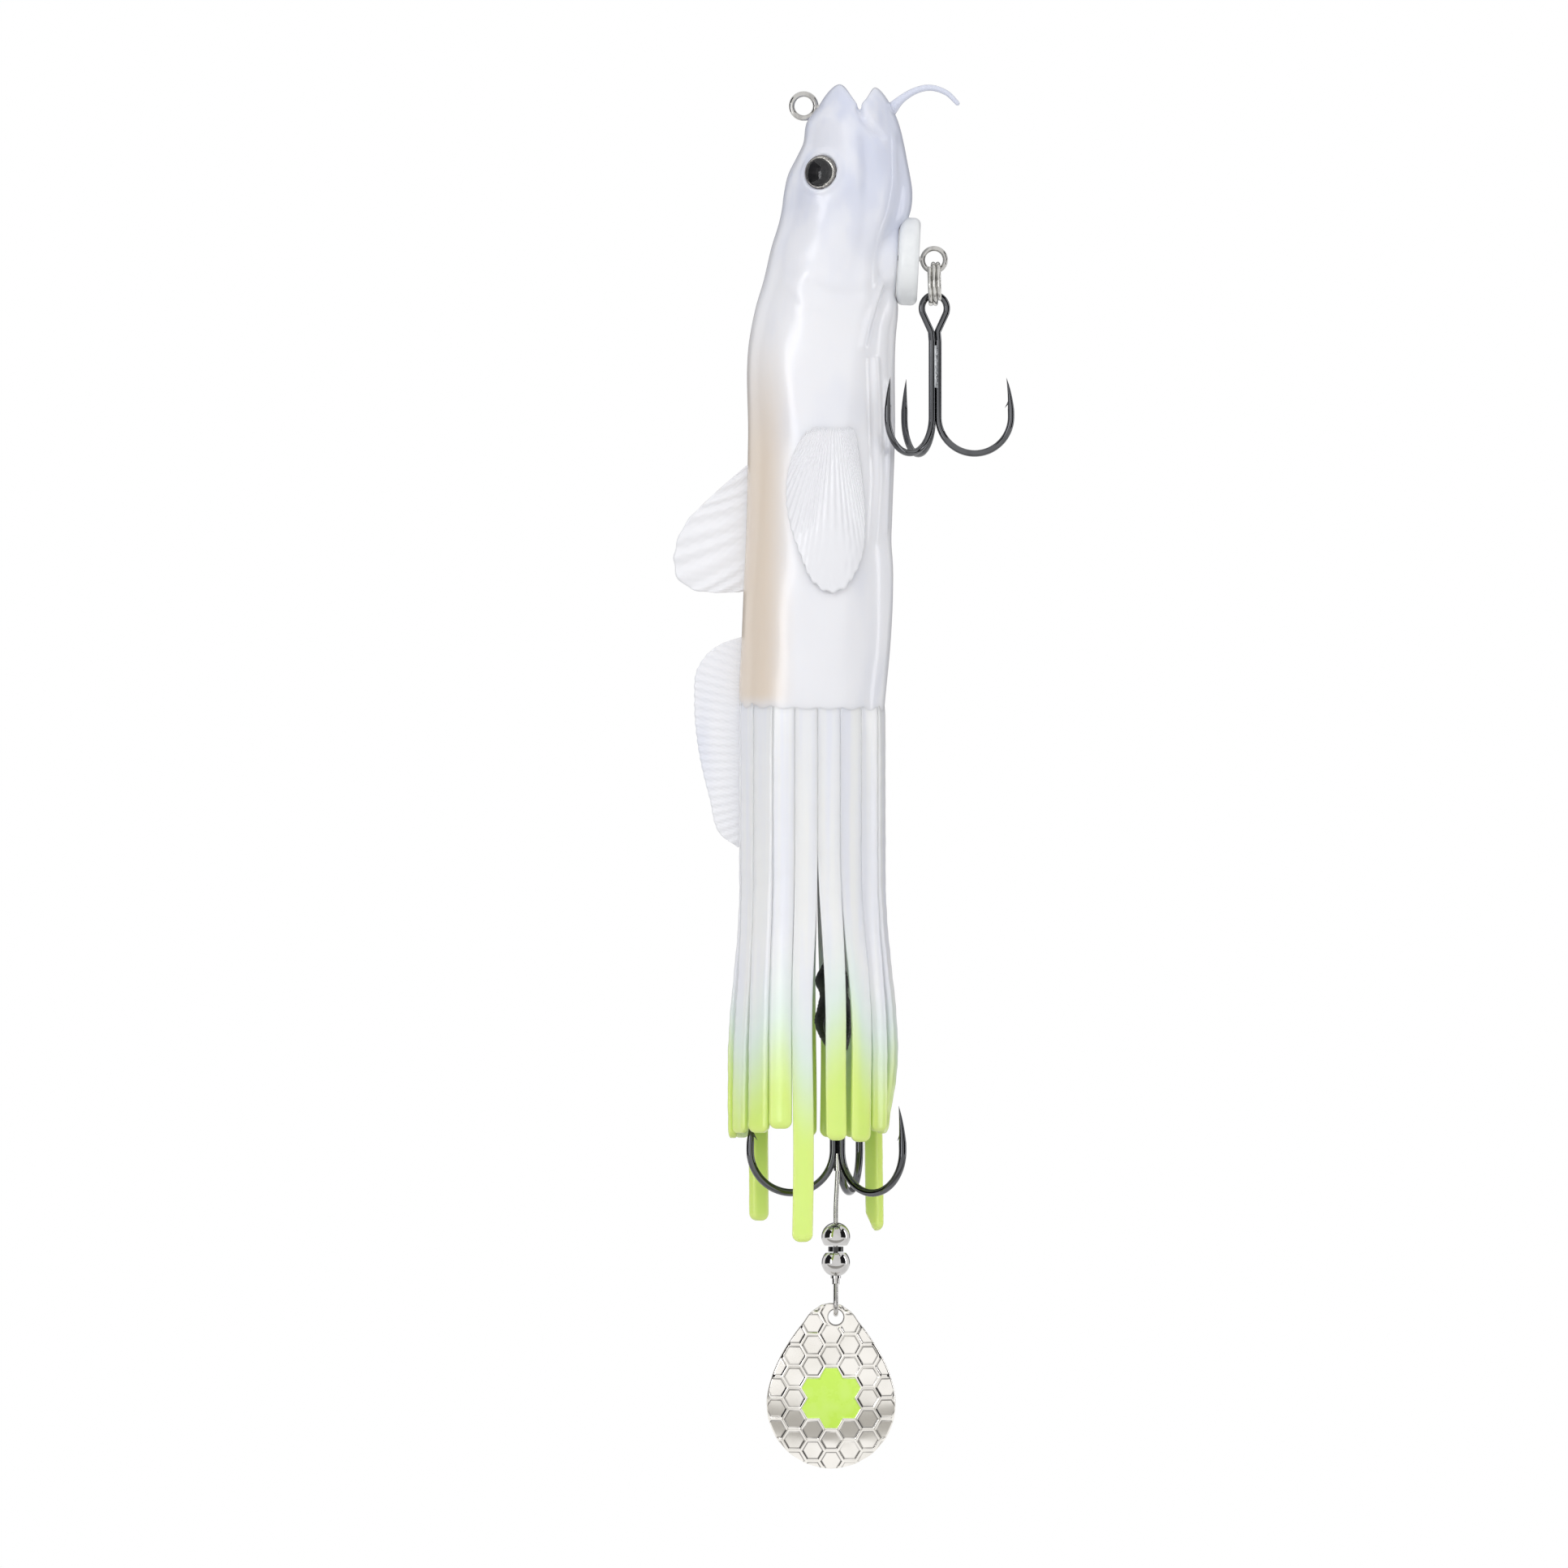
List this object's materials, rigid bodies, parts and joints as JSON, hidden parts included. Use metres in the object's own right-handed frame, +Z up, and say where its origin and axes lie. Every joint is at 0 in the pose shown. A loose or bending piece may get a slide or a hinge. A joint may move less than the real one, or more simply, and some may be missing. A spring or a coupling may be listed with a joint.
{
  "type": "soft swimbait with trailing spinner",
  "caption": "Soft burbot-shaped fishing lure with flexing fins, a skirt of tail strands, treble hooks on swinging eyes and a trailing spinner blade on a swivel",
  "frame": {"origin": "centre of the line tie's wire eye at the nose", "axes": "+Z up out of the nose, with the lure hanging nose up; +X the belly side; +Y the fish's left flank"},
  "size_m": [0.0882, 0.0413, 0.3589],
  "materials": {
    "pearl_soft_plastic": "pearl white soft plastic, slightly translucent",
    "strand_soft_plastic": "pearl soft plastic that turns yellow-green towards the tips",
    "stainless_wire": "bright stainless wire",
    "crimp_brass": "plain brass",
    "leader_wire": "braided wire",
    "core_plastic": "moulded insert",
    "ballast_metal": "cast ballast",
    "white_plastic": "matt white moulded plastic",
    "eye_foil": "pale pearl foil",
    "eye_pupil": "black",
    "eye_lens": "clear domed resin",
    "nickel_wire": "nickel plated wire",
    "black_nickel": "black nickel plated steel",
    "silver_braze": "brazed seam",
    "black_sleeve": "heat-shrink tube",
    "polished_steel": "polished steel",
    "blade_nickel": "nickel plated, stamped with hexagons",
    "decal_film": "plain yellow-green film"
  },
  "bodies": {
    "root": {"line_tie": "stainless_wire", "harness_wire": "stainless_wire", "belly_eye": "stainless_wire", "eye_insert": "crimp_brass", "head_core": "core_plastic", "belly_weight": "ballast_metal", "tail_crimp": "crimp_brass", "tail_leader": "leader_wire", "belly_disc": "white_plastic", "body_moulding": "pearl_soft_plastic", "eye_foil_left": "eye_foil", "eye_foil_right": "eye_foil", "eye_pupil_left": "eye_pupil", "eye_pupil_right": "eye_pupil", "eye_lens_left": "eye_lens", "eye_lens_right": "eye_lens"},
    "barbel": {"chin_barbel": "pearl_soft_plastic"},
    "front_dorsal": {"first_dorsal_fin": "pearl_soft_plastic"},
    "rear_dorsal": {"second_dorsal_fin": "pearl_soft_plastic"},
    "left_pectoral": {"pectoral_fin_left": "pearl_soft_plastic"},
    "right_pectoral": {"pectoral_fin_right": "pearl_soft_plastic"},
    "tail_strand_00": {"strand_00": "strand_soft_plastic"},
    "tail_strand_01": {"strand_01": "strand_soft_plastic"},
    "tail_strand_02": {"strand_02": "strand_soft_plastic"},
    "tail_strand_03": {"strand_03": "strand_soft_plastic"},
    "tail_strand_04": {"strand_04": "strand_soft_plastic"},
    "tail_strand_05": {"strand_05": "strand_soft_plastic"},
    "tail_strand_06": {"strand_06": "strand_soft_plastic"},
    "tail_strand_07": {"strand_07": "strand_soft_plastic"},
    "tail_strand_08": {"strand_08": "strand_soft_plastic"},
    "tail_strand_09": {"strand_09": "strand_soft_plastic"},
    "tail_strand_10": {"strand_10": "strand_soft_plastic"},
    "tail_strand_11": {"strand_11": "strand_soft_plastic"},
    "tail_strand_12": {"strand_12": "strand_soft_plastic"},
    "tail_strand_13": {"strand_13": "strand_soft_plastic"},
    "tail_strand_14": {"strand_14": "strand_soft_plastic"},
    "tail_strand_15": {"strand_15": "strand_soft_plastic"},
    "tail_strand_16": {"strand_16": "strand_soft_plastic"},
    "belly_ring": {"belly_split_ring": "nickel_wire"},
    "belly_treble": {"belly_hook_double": "black_nickel", "belly_hook_single": "black_nickel", "belly_hook_braze": "silver_braze"},
    "rear_rig": {"leader_loop": "leader_wire", "shrink_sleeve": "black_sleeve", "rear_hook_double": "black_nickel", "rear_hook_single": "black_nickel", "rear_hook_braze": "silver_braze", "ferrule": "nickel_wire", "spinner_wire": "nickel_wire", "swivel_pin": "polished_steel"},
    "bead": {"upper_bead": "polished_steel"},
    "swivel": {"swivel_body": "polished_steel", "link_loop": "nickel_wire"},
    "blade": {"spinner_blade": "blade_nickel", "blade_decal": "decal_film"}
  },
  "joints": [
    {"name": "barbel_flex", "type": "hinge", "parent": "root", "child": "barbel", "pos_m": [0.0239, 0, 0.0013], "axis": [0, 1, 0], "range_deg": [-20, 35], "stiffness_Nm_per_rad": 0.001},
    {"name": "front_dorsal_fold", "type": "hinge", "parent": "root", "child": "front_dorsal", "pos_m": [-0.0156, 0, -0.0932], "axis": [0.0346, 0, 0.9994], "range_deg": [-25, 25], "stiffness_Nm_per_rad": 0.003},
    {"name": "rear_dorsal_fold", "type": "hinge", "parent": "root", "child": "rear_dorsal", "pos_m": [-0.0178, 0, -0.138], "axis": [0, 0, 1], "range_deg": [-20, 20], "stiffness_Nm_per_rad": 0.003},
    {"name": "left_pectoral_flap", "type": "hinge", "parent": "root", "child": "left_pectoral", "pos_m": [0.0097, 0.01675, -0.0772], "axis": [1, 0, 0], "range_deg": [0, 35], "stiffness_Nm_per_rad": 0.004},
    {"name": "right_pectoral_flap", "type": "hinge", "parent": "root", "child": "right_pectoral", "pos_m": [0.0097, -0.01675, -0.0772], "axis": [-1, 0, 0], "range_deg": [0, 35], "stiffness_Nm_per_rad": 0.004},
    {"name": "strand_00_flex", "type": "hinge", "parent": "root", "child": "tail_strand_00", "pos_m": [0.01929, 0.0028, -0.1575], "axis": [0.2864, -0.9581, 0], "range_deg": [0, 22], "stiffness_Nm_per_rad": 0.003},
    {"name": "strand_01_flex", "type": "hinge", "parent": "root", "child": "tail_strand_01", "pos_m": [0.01636, 0.00762, -0.1575], "axis": [0.6995, -0.7147, 0], "range_deg": [0, 22], "stiffness_Nm_per_rad": 0.003},
    {"name": "strand_02_flex", "type": "hinge", "parent": "root", "child": "tail_strand_02", "pos_m": [0.01174, 0.01088, -0.1575], "axis": [0.9003, -0.4352, 0], "range_deg": [0, 2], "stiffness_Nm_per_rad": 0.003},
    {"name": "strand_03_flex", "type": "hinge", "parent": "root", "child": "tail_strand_03", "pos_m": [0.00634, 0.01262, -0.1575], "axis": [0.9836, -0.1804, 0], "range_deg": [0, 22], "stiffness_Nm_per_rad": 0.003},
    {"name": "strand_04_flex", "type": "hinge", "parent": "root", "child": "tail_strand_04", "pos_m": [0.00068, 0.01296, -0.1575], "axis": [0.9982, 0.0597, 0], "range_deg": [0, 22], "stiffness_Nm_per_rad": 0.003},
    {"name": "strand_05_flex", "type": "hinge", "parent": "root", "child": "tail_strand_05", "pos_m": [-0.0049, 0.01193, -0.1575], "axis": [0.9524, 0.3049, 0], "range_deg": [0, 22], "stiffness_Nm_per_rad": 0.003},
    {"name": "strand_06_flex", "type": "hinge", "parent": "root", "child": "tail_strand_06", "pos_m": [-0.00999, 0.00945, -0.1575], "axis": [0.8198, 0.5726, 0], "range_deg": [0, 22], "stiffness_Nm_per_rad": 0.003},
    {"name": "strand_07_flex", "type": "hinge", "parent": "root", "child": "tail_strand_07", "pos_m": [-0.01392, 0.00539, -0.1575], "axis": [0.5247, 0.8513, 0], "range_deg": [0, 22], "stiffness_Nm_per_rad": 0.003},
    {"name": "strand_08_flex", "type": "hinge", "parent": "root", "child": "tail_strand_08", "pos_m": [-0.0155, 0, -0.1935], "axis": [0, 1, 0], "range_deg": [0, 22], "stiffness_Nm_per_rad": 0.003},
    {"name": "strand_09_flex", "type": "hinge", "parent": "root", "child": "tail_strand_09", "pos_m": [-0.01392, -0.00539, -0.1575], "axis": [-0.5247, 0.8513, 0], "range_deg": [0, 22], "stiffness_Nm_per_rad": 0.003},
    {"name": "strand_10_flex", "type": "hinge", "parent": "root", "child": "tail_strand_10", "pos_m": [-0.00999, -0.00945, -0.1575], "axis": [-0.8198, 0.5726, 0], "range_deg": [0, 22], "stiffness_Nm_per_rad": 0.003},
    {"name": "strand_11_flex", "type": "hinge", "parent": "root", "child": "tail_strand_11", "pos_m": [-0.0049, -0.01193, -0.1575], "axis": [-0.9524, 0.3049, 0], "range_deg": [0, 22], "stiffness_Nm_per_rad": 0.003},
    {"name": "strand_12_flex", "type": "hinge", "parent": "root", "child": "tail_strand_12", "pos_m": [0.00068, -0.01296, -0.1575], "axis": [-0.9982, 0.0597, 0], "range_deg": [0, 22], "stiffness_Nm_per_rad": 0.003},
    {"name": "strand_13_flex", "type": "hinge", "parent": "root", "child": "tail_strand_13", "pos_m": [0.00634, -0.01262, -0.1575], "axis": [-0.9836, -0.1804, 0], "range_deg": [0, 22], "stiffness_Nm_per_rad": 0.003},
    {"name": "strand_14_flex", "type": "hinge", "parent": "root", "child": "tail_strand_14", "pos_m": [0.01174, -0.01088, -0.1575], "axis": [-0.9003, -0.4353, 0], "range_deg": [0, 22], "stiffness_Nm_per_rad": 0.003},
    {"name": "strand_15_flex", "type": "hinge", "parent": "root", "child": "tail_strand_15", "pos_m": [0.01636, -0.00762, -0.1575], "axis": [-0.6995, -0.7147, 0], "range_deg": [0, 2.5], "stiffness_Nm_per_rad": 0.003},
    {"name": "strand_16_flex", "type": "hinge", "parent": "root", "child": "tail_strand_16", "pos_m": [0.01929, -0.0028, -0.1575], "axis": [-0.2864, -0.9581, 0], "range_deg": [0, 22], "stiffness_Nm_per_rad": 0.003},
    {"name": "belly_ring_swing", "type": "hinge", "parent": "root", "child": "belly_ring", "pos_m": [0.0338, 0, -0.04275], "axis": [1, 0, 0], "range_deg": [-6, 8]},
    {"name": "belly_treble_swing", "type": "hinge", "parent": "belly_ring", "child": "belly_treble", "pos_m": [0.0338, 0, -0.05115], "axis": [0, -1, 0], "range_deg": [-2.5, 40]},
    {"name": "rear_rig_sway", "type": "hinge", "parent": "root", "child": "rear_rig", "pos_m": [0.0076, 0, -0.21915], "axis": [0, 1, 0], "range_deg": [-2, 0.6]},
    {"name": "bead_spin", "type": "hinge", "parent": "rear_rig", "child": "bead", "pos_m": [0.0083, 0, -0.2925], "axis": [0, 0, 1], "continuous": true},
    {"name": "swivel_spin", "type": "hinge", "parent": "rear_rig", "child": "swivel", "pos_m": [0.0083, 0, -0.2992], "axis": [0, 0, 1], "continuous": true},
    {"name": "blade_swing", "type": "hinge", "parent": "swivel", "child": "blade", "pos_m": [0.0083, 0, -0.31], "axis": [1, 0, 0], "range_deg": [-45, 45]}
  ]
}
